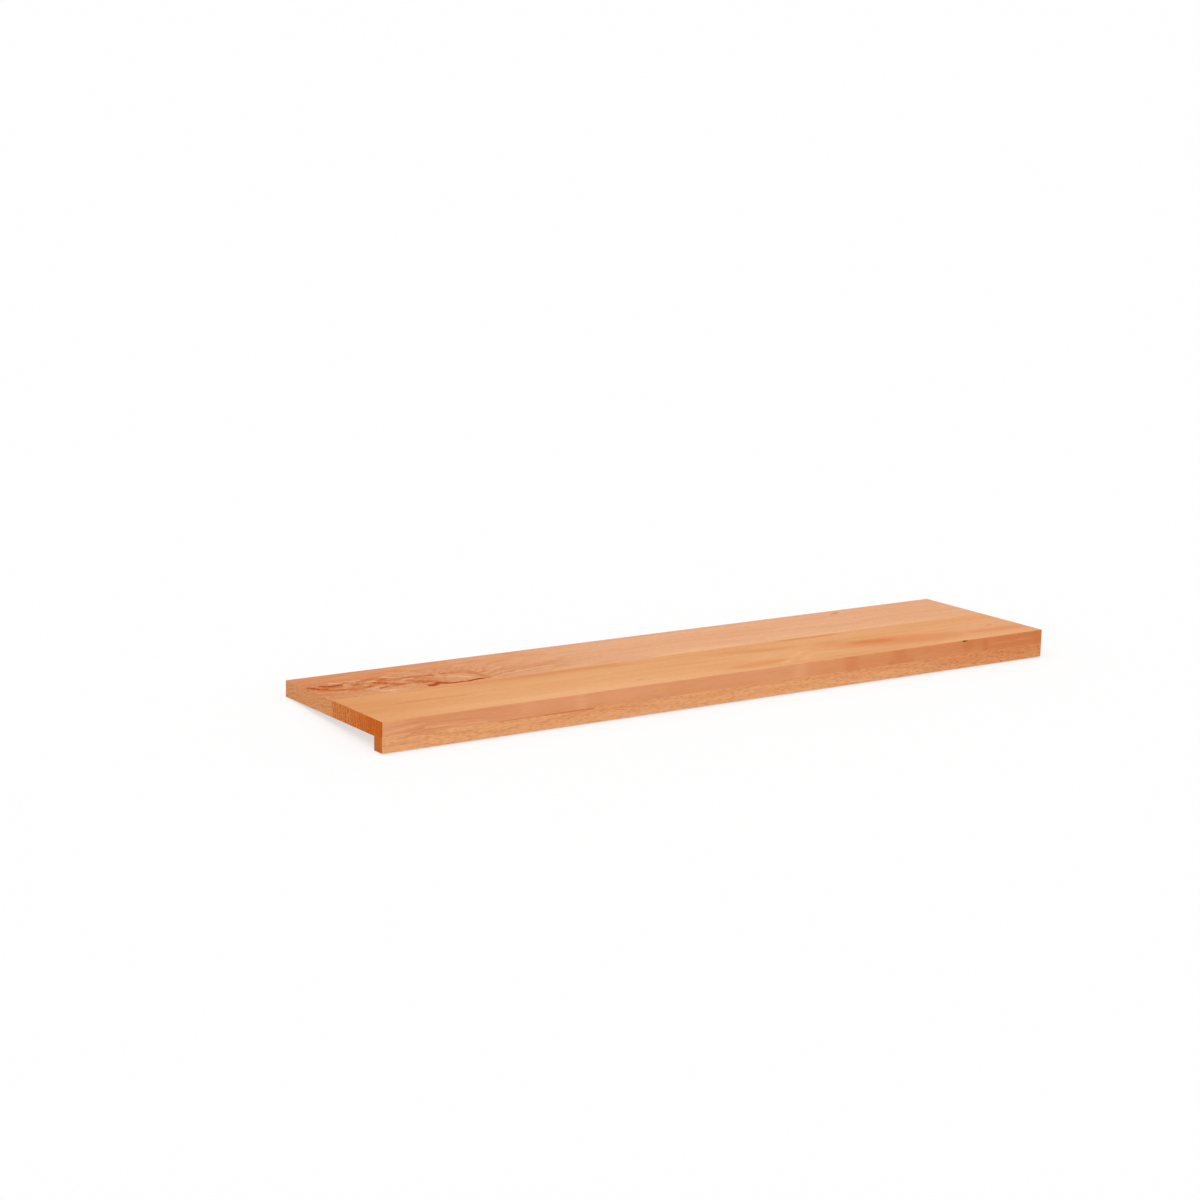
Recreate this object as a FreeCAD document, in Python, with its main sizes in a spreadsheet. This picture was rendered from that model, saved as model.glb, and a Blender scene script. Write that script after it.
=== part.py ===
import FreeCAD
import Part
import Sketcher
import os

# Stair tread glued up from beech: two boards edge to edge, and a square nosing strip that is let into
# a shallow rebate under the front board's leading edge, so that the nosing shows twice a board's depth.
# X runs along the tread, -Y is the front that a foot meets first, and +Z is up.
# The origin is on the floor under the middle of the tread.

# Driving dimensions, in millimetres
SIZES = {
    "tread_length": 1100.0,
    "board_thickness": 22.0,
    "rear_board_width": 123.0,
    "front_board_width": 127.0,
    "strip_width": 20.0,
    "strip_height": 20.0,
    "rebate_depth": 2.0,
    "nose_radius": 1.5,
    "arris_radius": 0.8,
}
ON_PLANE = 1e-6  # how near a plane an edge lies to count as being in it

doc = FreeCAD.newDocument("stair_tread")


def fill_sheet():
    sheet = doc.addObject("Spreadsheet::Sheet", "sizes")
    for row, (alias, value) in enumerate(SIZES.items(), start=1):
        sheet.set(f"A{row}", alias)
        sheet.set(f"B{row}", str(value))
        sheet.setAlias(f"B{row}", alias)
    doc.recompute()
    return sheet


sizes = fill_sheet()


def new_body(label):
    body = doc.addObject("PartDesign::Body", label)
    body.Label = label
    return body


def end_view_sketch(body):
    # A sketch seen from the tread's end: its x is the tread's Y, and its y is the tread's Z.
    sketch = body.newObject("Sketcher::SketchObject", body.Label + "_section")
    plane = next(f for f in body.Origin.OriginFeatures if f.Role == "YZ_Plane")
    sketch.AttachmentSupport = [(plane, "")]
    sketch.MapMode = "FlatFace"
    return sketch


def draw_outline(sketch, corners):
    # Straight lines through the corners in turn, joined, each held level or upright.
    first = sketch.GeometryCount
    for start, end in zip(corners, corners[1:] + corners[:1]):
        line = Part.LineSegment(FreeCAD.Vector(*start, 0), FreeCAD.Vector(*end, 0))
        index = sketch.addGeometry(line)
        way = "Horizontal" if start[1] == end[1] else "Vertical"
        sketch.addConstraint(Sketcher.Constraint(way, index))
    last = sketch.GeometryCount - 1
    for index in range(first, last + 1):
        following = first if index == last else index + 1
        sketch.addConstraint(Sketcher.Constraint("Coincident", index, 2, following, 1))
    sketch.addConstraint(Sketcher.Constraint("Coincident", first, 1, -1, 1))


def bind(sketch, name, way, line, value, expression):
    # Gives a line its length along x or y, and ties that to the sheet.
    index = sketch.addConstraint(Sketcher.Constraint(way, line, 1, line, 2, value))
    sketch.renameConstraint(index, name)
    sketch.setExpression("Constraints." + name, expression)


def pad_along_tread(body, sketch):
    pad = body.newObject("PartDesign::Pad", body.Label + "_stock")
    pad.Profile = sketch
    pad.SideType = "Symmetric"
    pad.setExpression("Length", "sizes.tread_length")
    doc.recompute()
    return pad


def lies_in(edge, axis, level):
    # True where the whole edge lies in the plane at that level of an axis: 0 is X, 1 is Y and 2 is Z.
    box = edge.BoundBox
    low = (box.XMin, box.YMin, box.ZMin)[axis]
    high = (box.XMax, box.YMax, box.ZMax)[axis]
    return abs(low - level) < ON_PLANE and abs(high - level) < ON_PLANE


def round_edges(body, base, name, radius, wanted):
    # Rounds the edges of the base feature that pass the test.
    chosen = [f"Edge{n}" for n, edge in enumerate(base.Shape.Edges, start=1) if wanted(edge)]
    fillet = body.newObject("PartDesign::Fillet", body.Label + "_" + name)
    fillet.Base = (base, chosen)
    fillet.setExpression("Radius", "sizes." + radius)
    doc.recompute()
    return fillet


def place(body, y, z):
    body.setExpression("Placement.Base.y", y)
    body.setExpression("Placement.Base.z", z)


FRONT = "-(sizes.rear_board_width + sizes.front_board_width) / 2"
JOINT = FRONT + " + sizes.front_board_width"
UNDERSIDE = "sizes.strip_height - sizes.rebate_depth"


def make_rear_board():
    # Plain board. Its joint face is at local Y 0 and stays sharp; every outer arris is eased.
    width = sizes.rear_board_width
    thickness = sizes.board_thickness
    body = new_body("rear_board")
    sketch = end_view_sketch(body)
    draw_outline(sketch, [(0, 0), (width, 0), (width, thickness), (0, thickness)])
    bind(sketch, "width", "DistanceX", 0, width, "sizes.rear_board_width")
    bind(sketch, "thickness", "DistanceY", 1, thickness, "sizes.board_thickness")
    pad = pad_along_tread(body, sketch)
    round_edges(body, pad, "arrises", "arris_radius", lambda edge: not lies_in(edge, 1, 0.0))
    place(body, JOINT, UNDERSIDE)
    return body


def make_front_board():
    # Board with a rebate for the strip under its front edge, at local Y 0. The rebate and the joint face
    # stay sharp, the nose is rounded, and the ends are eased.
    width = sizes.front_board_width
    thickness = sizes.board_thickness
    strip = sizes.strip_width
    rebate = sizes.rebate_depth
    body = new_body("front_board")
    sketch = end_view_sketch(body)
    sketch_corners = [
        (0, 0),
        (width - strip, 0),
        (width - strip, thickness),
        (-strip, thickness),
        (-strip, rebate),
        (0, rebate),
    ]
    draw_outline(sketch, sketch_corners)
    bind(sketch, "underside", "DistanceX", 0, width - strip, "sizes.front_board_width - sizes.strip_width")
    bind(sketch, "thickness", "DistanceY", 1, thickness, "sizes.board_thickness")
    bind(sketch, "rebate_width", "DistanceX", 4, strip, "sizes.strip_width")
    bind(sketch, "rebate_depth", "DistanceY", 5, -rebate, "-sizes.rebate_depth")
    pad = pad_along_tread(body, sketch)

    def is_nose(edge):
        return lies_in(edge, 1, -strip) and lies_in(edge, 2, thickness)

    def is_end_arris(edge):
        at_end = lies_in(edge, 0, sizes.tread_length / 2) or lies_in(edge, 0, -sizes.tread_length / 2)
        in_joint = lies_in(edge, 1, width - strip)
        in_rebate = lies_in(edge, 1, 0.0) or lies_in(edge, 2, rebate)
        return at_end and not in_joint and not in_rebate

    nose = round_edges(body, pad, "nose", "nose_radius", is_nose)
    round_edges(body, nose, "arrises", "arris_radius", is_end_arris)
    place(body, FRONT + " + sizes.strip_width", UNDERSIDE)
    return body


def make_nosing_strip():
    # Square strip, flush with the front board's face. Its top lies in the rebate and stays sharp.
    width = sizes.strip_width
    height = sizes.strip_height
    body = new_body("nosing_strip")
    sketch = end_view_sketch(body)
    draw_outline(sketch, [(0, 0), (width, 0), (width, height), (0, height)])
    bind(sketch, "width", "DistanceX", 0, width, "sizes.strip_width")
    bind(sketch, "height", "DistanceY", 1, height, "sizes.strip_height")
    pad = pad_along_tread(body, sketch)
    round_edges(body, pad, "arrises", "arris_radius", lambda edge: not lies_in(edge, 2, height))
    place(body, FRONT, "0 mm")
    return body


pieces = [make_rear_board(), make_front_board(), make_nosing_strip()]
doc.recompute()

# Nothing is written unless every feature and every piece came out whole
for item in doc.Objects:
    if "Invalid" in item.State or "Error" in item.State:
        raise RuntimeError(f"{item.Label} failed: {item.State}")
for piece in pieces:
    if piece.Shape.isNull() or not piece.Shape.isValid() or len(piece.Shape.Solids) != 1:
        raise RuntimeError(f"{piece.Label} is not one valid solid")

os.makedirs("parts", exist_ok=True)
for piece in pieces:
    piece.Shape.exportStep(f"parts/{piece.Label}.step")
    box = piece.Shape.BoundBox
    print(
        f"{piece.Label}: {piece.Shape.Volume / 1000:.1f} cm3, "
        f"X {box.XMin:.2f} to {box.XMax:.2f}, Y {box.YMin:.2f} to {box.YMax:.2f}, "
        f"Z {box.ZMin:.2f} to {box.ZMax:.2f}"
    )
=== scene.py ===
# Beech stair tread with a clear satin finish: rear board, front board and nosing strip, glued together
import math

import bpy
import numpy as np
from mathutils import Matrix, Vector


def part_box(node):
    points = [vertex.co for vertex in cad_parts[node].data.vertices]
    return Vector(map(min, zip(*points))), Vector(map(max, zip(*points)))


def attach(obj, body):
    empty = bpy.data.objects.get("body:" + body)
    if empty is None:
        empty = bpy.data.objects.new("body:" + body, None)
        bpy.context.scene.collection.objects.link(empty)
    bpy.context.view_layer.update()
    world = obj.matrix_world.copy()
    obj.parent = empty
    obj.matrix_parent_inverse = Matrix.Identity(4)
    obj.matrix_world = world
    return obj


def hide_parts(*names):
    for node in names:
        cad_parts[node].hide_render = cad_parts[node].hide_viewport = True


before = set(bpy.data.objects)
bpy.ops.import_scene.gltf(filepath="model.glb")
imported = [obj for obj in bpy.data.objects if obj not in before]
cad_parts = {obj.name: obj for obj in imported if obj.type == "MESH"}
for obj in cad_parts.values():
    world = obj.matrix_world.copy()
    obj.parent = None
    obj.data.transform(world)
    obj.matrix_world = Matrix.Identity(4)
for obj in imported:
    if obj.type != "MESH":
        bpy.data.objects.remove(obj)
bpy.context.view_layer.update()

mm = 0.001
bodyName = "root"

rearLow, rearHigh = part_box("rear_board")
frontLow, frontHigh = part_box("front_board")
stripLow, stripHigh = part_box("nosing_strip")
leftX, rightX = rearLow[0], rearHigh[0]
rearY, topZ = rearHigh[1], rearHigh[2]

# the tread in millimetres: back counts from the rear edge, down from the top
treadLength = (rightX - leftX) / mm
treadDepth = (rearY - frontLow[1]) / mm
jointBack = (rearY - rearLow[1]) / mm
stripDown = (topZ - stripHigh[2]) / mm


# small helpers for node trees

def tone(red, green, blue):
    # an sRGB colour, 0 to 255, as the linear colour that a shader socket takes
    linear = []
    for level in (red, green, blue):
        part = level / 255
        linear.append(part / 12.92 if part <= 0.04045 else ((part + 0.055) / 1.055) ** 2.4)
    return (*linear, 1.0)


def put(tree, kind, **settings):
    node = tree.nodes.new(kind)
    for name, value in settings.items():
        setattr(node, name, value)
    return node


def wire(tree, socket, value):
    if isinstance(value, bpy.types.NodeSocket):
        tree.links.new(value, socket)
    else:
        socket.default_value = value


def calc(tree, operation, *values):
    node = put(tree, "ShaderNodeMath", operation=operation)
    for socket, value in zip(node.inputs, values):
        wire(tree, socket, value)
    return node.outputs[0]


def vec(tree, operation, *values, scale=None):
    node = put(tree, "ShaderNodeVectorMath", operation=operation)
    for socket, value in zip(node.inputs, values):
        wire(tree, socket, value)
    if scale is not None:
        wire(tree, node.inputs["Scale"], scale)
    single = operation in ("LENGTH", "DISTANCE", "DOT_PRODUCT")
    return node.outputs["Value" if single else "Vector"]


def split(tree, vector):
    node = put(tree, "ShaderNodeSeparateXYZ")
    wire(tree, node.inputs[0], vector)
    return node.outputs


def join(tree, x, y, z):
    node = put(tree, "ShaderNodeCombineXYZ")
    for socket, value in zip(node.inputs, (x, y, z)):
        wire(tree, socket, value)
    return node.outputs[0]


def ease(tree, value, start, stop, low=0.0, high=1.0):
    # smooth step from low to high while the value goes from start to stop
    node = put(tree, "ShaderNodeMapRange", interpolation_type="SMOOTHSTEP", clamp=False)
    for socket, given in zip(node.inputs, (value, start, stop, low, high)):
        wire(tree, socket, given)
    return node.outputs[0]


def blend(tree, factor, first, second):
    node = put(tree, "ShaderNodeMix", data_type="RGBA")
    wire(tree, node.inputs[0], factor)
    wire(tree, node.inputs[6], first)  # 6 and 7 are its two colours
    wire(tree, node.inputs[7], second)
    return node.outputs[2]


def tint(tree, colour, mask, share, shade):
    return blend(tree, calc(tree, "MULTIPLY", mask, share), colour, shade)


def lighten(tree, colour, value, amount):
    # brighter where the value is over a half and darker where it is under
    swing = calc(tree, "MULTIPLY_ADD", value, 2.0, -1.0)
    return vec(tree, "SCALE", colour, scale=calc(tree, "MULTIPLY_ADD", swing, amount, 1.0))


def noise(tree, vector, size, detail=2.0, rough=0.5, colour=False):
    # lumps of the given size, which may differ along each axis
    counted = vec(tree, "DIVIDE", vector, size)
    node = put(tree, "ShaderNodeTexNoise", noise_dimensions="3D")
    wire(tree, node.inputs["Vector"], counted)
    wire(tree, node.inputs["Scale"], 1.0)
    wire(tree, node.inputs["Detail"], detail)
    wire(tree, node.inputs["Roughness"], rough)
    return node.outputs["Color" if colour else "Fac"]


def startGroup(name, inputs, outputs):
    # the kind of an input follows from its value: number, vector or colour
    tree = bpy.data.node_groups.new(name, "ShaderNodeTree")
    for label, value in inputs.items():
        parts = len(value) if isinstance(value, tuple) else 1
        kind = {1: "NodeSocketFloat", 3: "NodeSocketVector", 4: "NodeSocketColor"}[parts]
        tree.interface.new_socket(label, in_out="INPUT", socket_type=kind).default_value = value
    for label, kind in outputs.items():
        tree.interface.new_socket(label, in_out="OUTPUT", socket_type=kind)
    return tree, put(tree, "NodeGroupInput").outputs, put(tree, "NodeGroupOutput").inputs


def useGroup(tree, group, **values):
    node = put(tree, "ShaderNodeGroup", node_tree=group)
    for label, value in values.items():
        wire(tree, node.inputs[label], value)
    return node.outputs


# wood effects shared by the three pieces, all in millimetres
# a size of noise in the log runs along it, out from its heart and round it

origin = (0.0, 0.0, 0.0)
white = (1.0, 1.0, 1.0, 1.0)

figure = {
    "wander": {"size": (210, 48, 48)},
    "yearDrift": {"size": (500, 22, 160), "detail": 1.0},
    "yearDriftShare": 2.4,
    "lateRise": (0.35, 0.93),
    "rayEdge": (0.5, 0.22),
    "slant": (5.0, 7.0),
    "streak": {"size": (120, 1.7, 1.7), "detail": 3.0, "rough": 0.6},
    "hair": {"size": (26, 0.32, 0.32), "detail": 1.0},
    "pore": {"size": (5.5, 0.22, 0.22), "detail": 0.0},
    "poreEdge": (0.64, 0.8),
    "brindle": {"size": (11, 1.5, 1.5)},
    "brindleEdge": (0.3, 0.7),
    "fray": {"size": (24, 2.6, 2.6), "detail": 2.5},
    "endFacing": (0.55, 0.9),
    "frontFacing": (0.3, 0.7),
    "endRings": (0.32, 0.62),
}

finish = {
    "rough": 0.75, "gloss": 0.15, "streakRough": 0.16, "endRough": 0.15, "openRough": 0.1,
    "relief": {"size": (14, 0.3, 0.3), "detail": 1.0}, "reliefStrength": 0.35, "reliefHeight": 0.12 * mm,
}


def treadPointGroup():
    # millimetres along from the left end, back from the rear edge and down from the top
    tree, _, result = startGroup("treadPoint", {}, {"Point": "NodeSocketVector"})
    place = put(tree, "ShaderNodeTexCoord").outputs["Object"]
    fromCorner = vec(tree, "SUBTRACT", place, (leftX, rearY, topZ))
    wire(tree, result["Point"], vec(tree, "MULTIPLY", fromCorner, (1 / mm, -1 / mm, -1 / mm)))
    return tree


def sawnFacesGroup():
    # End: 1 on the two sawn ends, where the fibres are cut across. Front: 1 on the face that looks forward.
    tree, _, result = startGroup("sawnFaces", {}, {"End": "NodeSocketFloat", "Front": "NodeSocketFloat"})
    facing = split(tree, put(tree, "ShaderNodeTexCoord").outputs["Normal"])
    wire(tree, result["End"], ease(tree, calc(tree, "ABSOLUTE", facing[0]), *figure["endFacing"]))
    forward = calc(tree, "MULTIPLY", facing[1], -1.0)
    wire(tree, result["Front"], ease(tree, forward, *figure["frontFacing"]))
    return tree


def softZoneGroup():
    # an egg-shaped zone that fades in from its edge. Full is the share of its reach where the fade ends.
    tree, given, result = startGroup(
        "softZone",
        {"Point": origin, "Centre": origin, "Reach": (1.0, 1.0, 1.0), "Full": 0.0, "Strength": 1.0},
        {"Inside": "NodeSocketFloat"},
    )
    away = vec(tree, "DIVIDE", vec(tree, "SUBTRACT", given["Point"], given["Centre"]), given["Reach"])
    inside = ease(tree, vec(tree, "LENGTH", away), 1.0, given["Full"], 0.0, given["Strength"])
    wire(tree, result["Inside"], inside)
    return tree


def strokeGroup():
    # a soft mark along a line, out to its half width. Share is the line's span over its length squared.
    tree, given, result = startGroup(
        "stroke",
        {"Point": origin, "Start": origin, "Span": (1.0, 0.0, 0.0), "Share": (1.0, 0.0, 0.0), "Half": 1.0},
        {"Mark": "NodeSocketFloat"},
    )
    away = vec(tree, "SUBTRACT", given["Point"], given["Start"])
    along = calc(tree, "MAXIMUM", vec(tree, "DOT_PRODUCT", away, given["Share"]), 0.0)
    along = calc(tree, "MINIMUM", along, 1.0)
    gap = vec(tree, "DISTANCE", away, vec(tree, "SCALE", given["Span"], scale=along))
    wire(tree, result["Mark"], ease(tree, calc(tree, "DIVIDE", gap, given["Half"]), 1.0, 0.0))
    return tree


def logSpaceGroup():
    # a point in the board, as length along the log, distance from its heart and way round it
    tree, given, result = startGroup(
        "logSpace",
        {"Point": origin, "PithBack": 0.0, "PithDown": 0.0, "Reach": 100.0, "Lean": 0.0, "Waver": 1.0,
         "Swell": 0.0},
        {"Log": "NodeSocketVector"},
    )
    along, back, down = split(tree, given["Point"])
    back = calc(tree, "SUBTRACT", back, given["PithBack"])
    down = calc(tree, "SUBTRACT", down, given["PithDown"])
    squared = calc(tree, "MULTIPLY_ADD", back, back, calc(tree, "MULTIPLY", down, down))
    radius = calc(tree, "SQRT", squared)
    turn = calc(tree, "ARCTAN2", down, back)
    slow = noise(tree, given["Point"], **figure["wander"])
    wander = calc(tree, "MULTIPLY", calc(tree, "MULTIPLY_ADD", slow, 2.0, -1.0), given["Waver"])
    radius = calc(tree, "MULTIPLY_ADD", along, given["Lean"], radius)
    radius = calc(tree, "ADD", calc(tree, "ADD", radius, wander), given["Swell"])
    wire(tree, result["Log"], join(tree, along, radius, calc(tree, "MULTIPLY", turn, given["Reach"])))
    return tree


def growthRingsGroup():
    # Late: the darker line that ends each year's growth. Year: a steady random level for each year.
    tree, given, result = startGroup(
        "growthRings",
        {"Log": origin, "Width": 4.0},
        {"Late": "NodeSocketFloat", "Year": "NodeSocketFloat"},
    )
    radius = split(tree, given["Log"])[1]
    drift = calc(tree, "MULTIPLY", noise(tree, given["Log"], **figure["yearDrift"]), figure["yearDriftShare"])
    count = calc(tree, "ADD", calc(tree, "DIVIDE", radius, given["Width"]), drift)
    part = calc(tree, "FRACT", count)
    start, peak = figure["lateRise"]
    rise = ease(tree, part, start, peak)
    fall = ease(tree, part, peak, 1.0, 1.0, 0.0)
    wire(tree, result["Late"], calc(tree, "MULTIPLY", rise, fall))
    number = calc(tree, "FLOOR", count)
    year = put(tree, "ShaderNodeTexWhiteNoise", noise_dimensions="1D")
    wire(tree, year.inputs["W"], number)
    wire(tree, result["Year"], year.outputs["Value"])
    return tree


def rayFlecksGroup():
    # wood rays: thin upright sheets that run out from the heart, so each cut shows them its own way
    tree, given, result = startGroup(
        "rayFlecks",
        {"Log": origin, "Tall": 3.0, "Deep": 9.0, "Thick": 0.5, "Share": 0.7},
        {"Fleck": "NodeSocketFloat"},
    )
    size = join(tree, given["Tall"], given["Deep"], given["Thick"])
    counted = vec(tree, "DIVIDE", given["Log"], size)
    cells = put(tree, "ShaderNodeTexVoronoi", voronoi_dimensions="3D", feature="F1")
    wire(tree, cells.inputs["Vector"], counted)
    wire(tree, cells.inputs["Scale"], 1.0)
    chosen = calc(tree, "LESS_THAN", split(tree, cells.outputs["Color"])[0], given["Share"])
    sheet = ease(tree, cells.outputs["Distance"], *figure["rayEdge"])
    wire(tree, result["Fleck"], calc(tree, "MULTIPLY", sheet, chosen))
    return tree


def fibresGroup():
    # Streak: bundles of fibres. Hair: single fibres. Pore: the tiny vessels, which show as short dark lines.
    # Brindle: short dashes. Fray: how far a mark runs along the fibres at its edges.
    outputs = {label: "NodeSocketFloat" for label in ("Streak", "Hair", "Pore", "Brindle", "Fray")}
    tree, given, result = startGroup("fibres", {"Log": origin}, outputs)
    # the length is slanted, so that the cells of the noise never line up across the board
    along, radius, turn = split(tree, given["Log"])
    outSlant, turnSlant = figure["slant"]
    slanted = calc(tree, "MULTIPLY_ADD", radius, outSlant, along)
    log = join(tree, calc(tree, "MULTIPLY_ADD", turn, turnSlant, slanted), radius, turn)
    wire(tree, result["Streak"], noise(tree, log, **figure["streak"]))
    wire(tree, result["Hair"], noise(tree, log, **figure["hair"]))
    wire(tree, result["Pore"], ease(tree, noise(tree, log, **figure["pore"]), *figure["poreEdge"]))
    wire(tree, result["Brindle"], ease(tree, noise(tree, log, **figure["brindle"]), *figure["brindleEdge"]))
    wire(tree, result["Fray"], noise(tree, log, **figure["fray"]))
    return tree


def longGrainGroup():
    # years, fibres, rays and vessels, laid over the ground colour of the faces along the grain
    tree, given, result = startGroup(
        "longGrain",
        {"Colour": white, "Year": 0.0, "YearShare": 0.0, "Streak": 0.0, "StreakShare": 0.0,
         "Hair": 0.0, "HairShare": 0.0, "Brindle": 0.0, "BrindleShare": 0.0, "Fleck": 0.0, "Pore": 0.0,
         "RayTone": white, "RayShare": 0.0, "PoreTone": white, "PoreShare": 0.0},
        {"Colour": "NodeSocketColor"},
    )
    colour = given["Colour"]
    for effect in ("Year", "Streak", "Hair", "Brindle"):
        colour = lighten(tree, colour, given[effect], given[effect + "Share"])
    colour = tint(tree, colour, given["Fleck"], given["RayShare"], given["RayTone"])
    colour = tint(tree, colour, given["Pore"], given["PoreShare"], given["PoreTone"])
    wire(tree, result["Colour"], colour)
    return tree


def sawnEndGroup():
    # the ends, where the rings are cut across and some of them show more than others
    tree, given, result = startGroup(
        "sawnEnd",
        {"Point": origin, "Late": 0.0, "Year": 0.0, "Streak": 0.0, "Fray": 0.0, "Fleck": 0.0, "Pore": 0.0,
         "NearTone": white, "FarTone": white, "ShiftFrom": 0.0, "ShiftTo": 1.0,
         "LateTone": white, "LateShare": 0.0, "YearShare": 0.0, "StreakShare": 0.0,
         "RayTone": white, "RayShare": 0.0, "PoreTone": white, "PoreShare": 0.0},
        {"Colour": "NodeSocketColor"},
    )
    shift = ease(tree, split(tree, given["Point"])[1], given["ShiftFrom"], given["ShiftTo"])
    colour = blend(tree, shift, given["NearTone"], given["FarTone"])
    uneven = calc(tree, "MULTIPLY", given["Late"], ease(tree, given["Fray"], *figure["endRings"]))
    colour = tint(tree, colour, uneven, given["LateShare"], given["LateTone"])
    colour = lighten(tree, colour, given["Year"], given["YearShare"])
    colour = lighten(tree, colour, given["Streak"], given["StreakShare"])
    colour = tint(tree, colour, given["Fleck"], given["RayShare"], given["RayTone"])
    colour = tint(tree, colour, given["Pore"], given["PoreShare"], given["PoreTone"])
    wire(tree, result["Colour"], colour)
    return tree


def satinFinishGroup():
    # Roughness of the clear finish, and Height of the sanded fibres under it
    tree, given, result = startGroup(
        "satinFinish",
        {"Point": origin, "Streak": 0.5, "End": 0.0, "Open": 0.0},
        {"Roughness": "NodeSocketFloat", "Height": "NodeSocketFloat"},
    )
    base = finish["rough"] - 0.5 * finish["streakRough"]
    rough = calc(tree, "MULTIPLY_ADD", given["Streak"], finish["streakRough"], base)
    rough = calc(tree, "MULTIPLY_ADD", given["End"], finish["endRough"], rough)
    wire(tree, result["Roughness"], calc(tree, "MULTIPLY_ADD", given["Open"], finish["openRough"], rough))
    wire(tree, result["Height"], noise(tree, given["Point"], **finish["relief"]))
    return tree


treadPoint = treadPointGroup()
sawnFaces = sawnFacesGroup()
softZone = softZoneGroup()
stroke = strokeGroup()
logSpace = logSpaceGroup()
growthRings = growthRingsGroup()
rayFlecks = rayFlecksGroup()
fibres = fibresGroup()
longGrain = longGrainGroup()
sawnEnd = sawnEndGroup()
satinFinish = satinFinishGroup()
print("wood effects made")


# beech of one piece, from its dictionary. A mark runs from (along, back, down) to (along, back, down).
# softness: noise levels between which an effect comes in, how fine its noise is, and how marks end

softness = {
    "drift": (0.36, 0.64), "mottleDark": (0.5, 0.68), "mottlePale": (0.48, 0.32), "tossDetail": 1.5,
    "patch": (0.38, 0.62), "patchDetail": 1.0, "blotchDark": (0.5, 0.66), "blotchPale": (0.5, 0.36),
    "blotchDetail": 2.5, "markMelt": 0.25, "markCore": 0.45, "swellWider": 4.0,
}


def topMarks(rows):
    # rows of along, back, along, back, half width, strength on the walking surface
    return [((a, b, 0.0), (c, d, 0.0), half, strength) for a, b, c, d, half, strength in rows]


def frontMarks(rows):
    # rows of along, down, along, down, half width, strength on the front face
    return [((a, treadDepth, b), (c, treadDepth, d), half, strength) for a, b, c, d, half, strength in rows]


def zoned(tree, colour, point, zones):
    # rows of centre, reach, strength and tone
    for centre, reach, strength, zoneTone in zones:
        zone = useGroup(tree, softZone, Point=point, Centre=centre, Reach=reach, Strength=strength)
        colour = blend(tree, zone["Inside"], colour, zoneTone)
    return colour


def tossed(tree, point, tosses, fade=1.0):
    # the point pushed about by noise: rows of noise size and push
    moved = point
    for size, push in tosses:
        toss = noise(tree, point, size, detail=softness["tossDetail"], colour=True)
        toss = vec(tree, "MULTIPLY", vec(tree, "SUBTRACT", toss, (0.5, 0.5, 0.5)), push)
        moved = vec(tree, "ADD", moved, vec(tree, "SCALE", toss, scale=fade))
    return moved


def markMask(tree, point, rows, wider=1.0, stretch=1.0):
    # stretch draws the marks out along the grain, so that they fade away slowly at their ends
    shrink = (1 / stretch, 1.0, 1.0)
    if stretch != 1.0:
        point = vec(tree, "MULTIPLY", point, shrink)
    total = 0.0
    for start, stop, half, strength in rows:
        first = Vector(part * by for part, by in zip(start, shrink))
        span = Vector(part * by for part, by in zip(stop, shrink)) - first
        line = {"Start": first, "Span": span, "Share": span / span.length_squared, "Half": half * wider}
        mark = useGroup(tree, stroke, Point=point, **line)["Mark"]
        total = calc(tree, "MAXIMUM", total, calc(tree, "MULTIPLY", mark, strength))
    return total


def crackMask(tree, point, crack):
    # the crack's way back from the rear edge is a sum of smooth shifts along the tread and small waves
    along, back, down = split(tree, point)
    way = crack["first"]
    for start, stop, shift in crack["shifts"]:
        way = calc(tree, "ADD", way, ease(tree, along, start, stop, 0.0, shift))
    for height, pace, lead in crack["waves"]:
        wave = calc(tree, "SINE", calc(tree, "MULTIPLY_ADD", along, pace, lead))
        way = calc(tree, "MULTIPLY_ADD", wave, height, way)
    start, stop = crack["span"]
    opening = ease(tree, along, start, start + crack["opens"])
    closing = ease(tree, along, stop - crack["closes"], stop, 1.0, 0.0)
    half = calc(tree, "MULTIPLY", calc(tree, "MULTIPLY", opening, closing), crack["half"])
    gap = calc(tree, "ABSOLUTE", calc(tree, "SUBTRACT", back, way))
    shallow = ease(tree, down, crack["down"], 0.5 * crack["down"])
    return calc(tree, "MULTIPLY", ease(tree, calc(tree, "SUBTRACT", half, gap), 0.0, crack["soft"]), shallow)


def wildGrain(tree, point, wood):
    # the wild stretch: the grain is tossed about, and the rings swell up round the pockets in it
    wild = wood["wild"]
    wildness = useGroup(tree, softZone, Point=point, **wild["zone"])["Inside"]
    grain = tossed(tree, point, wild["tosses"], wildness)
    swell = 0.0
    for centre, reach, height in wild["swells"]:
        hump = useGroup(tree, softZone, Point=grain, Centre=centre, Reach=reach, Strength=height)["Inside"]
        swell = calc(tree, "ADD", swell, hump)
    for mark in wood["marks"]:
        if "swell" in mark:
            hump = markMask(tree, grain, mark["rows"], wider=softness["swellWider"])
            swell = calc(tree, "MULTIPLY_ADD", hump, mark["swell"], swell)
    return wildness, grain, swell


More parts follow.
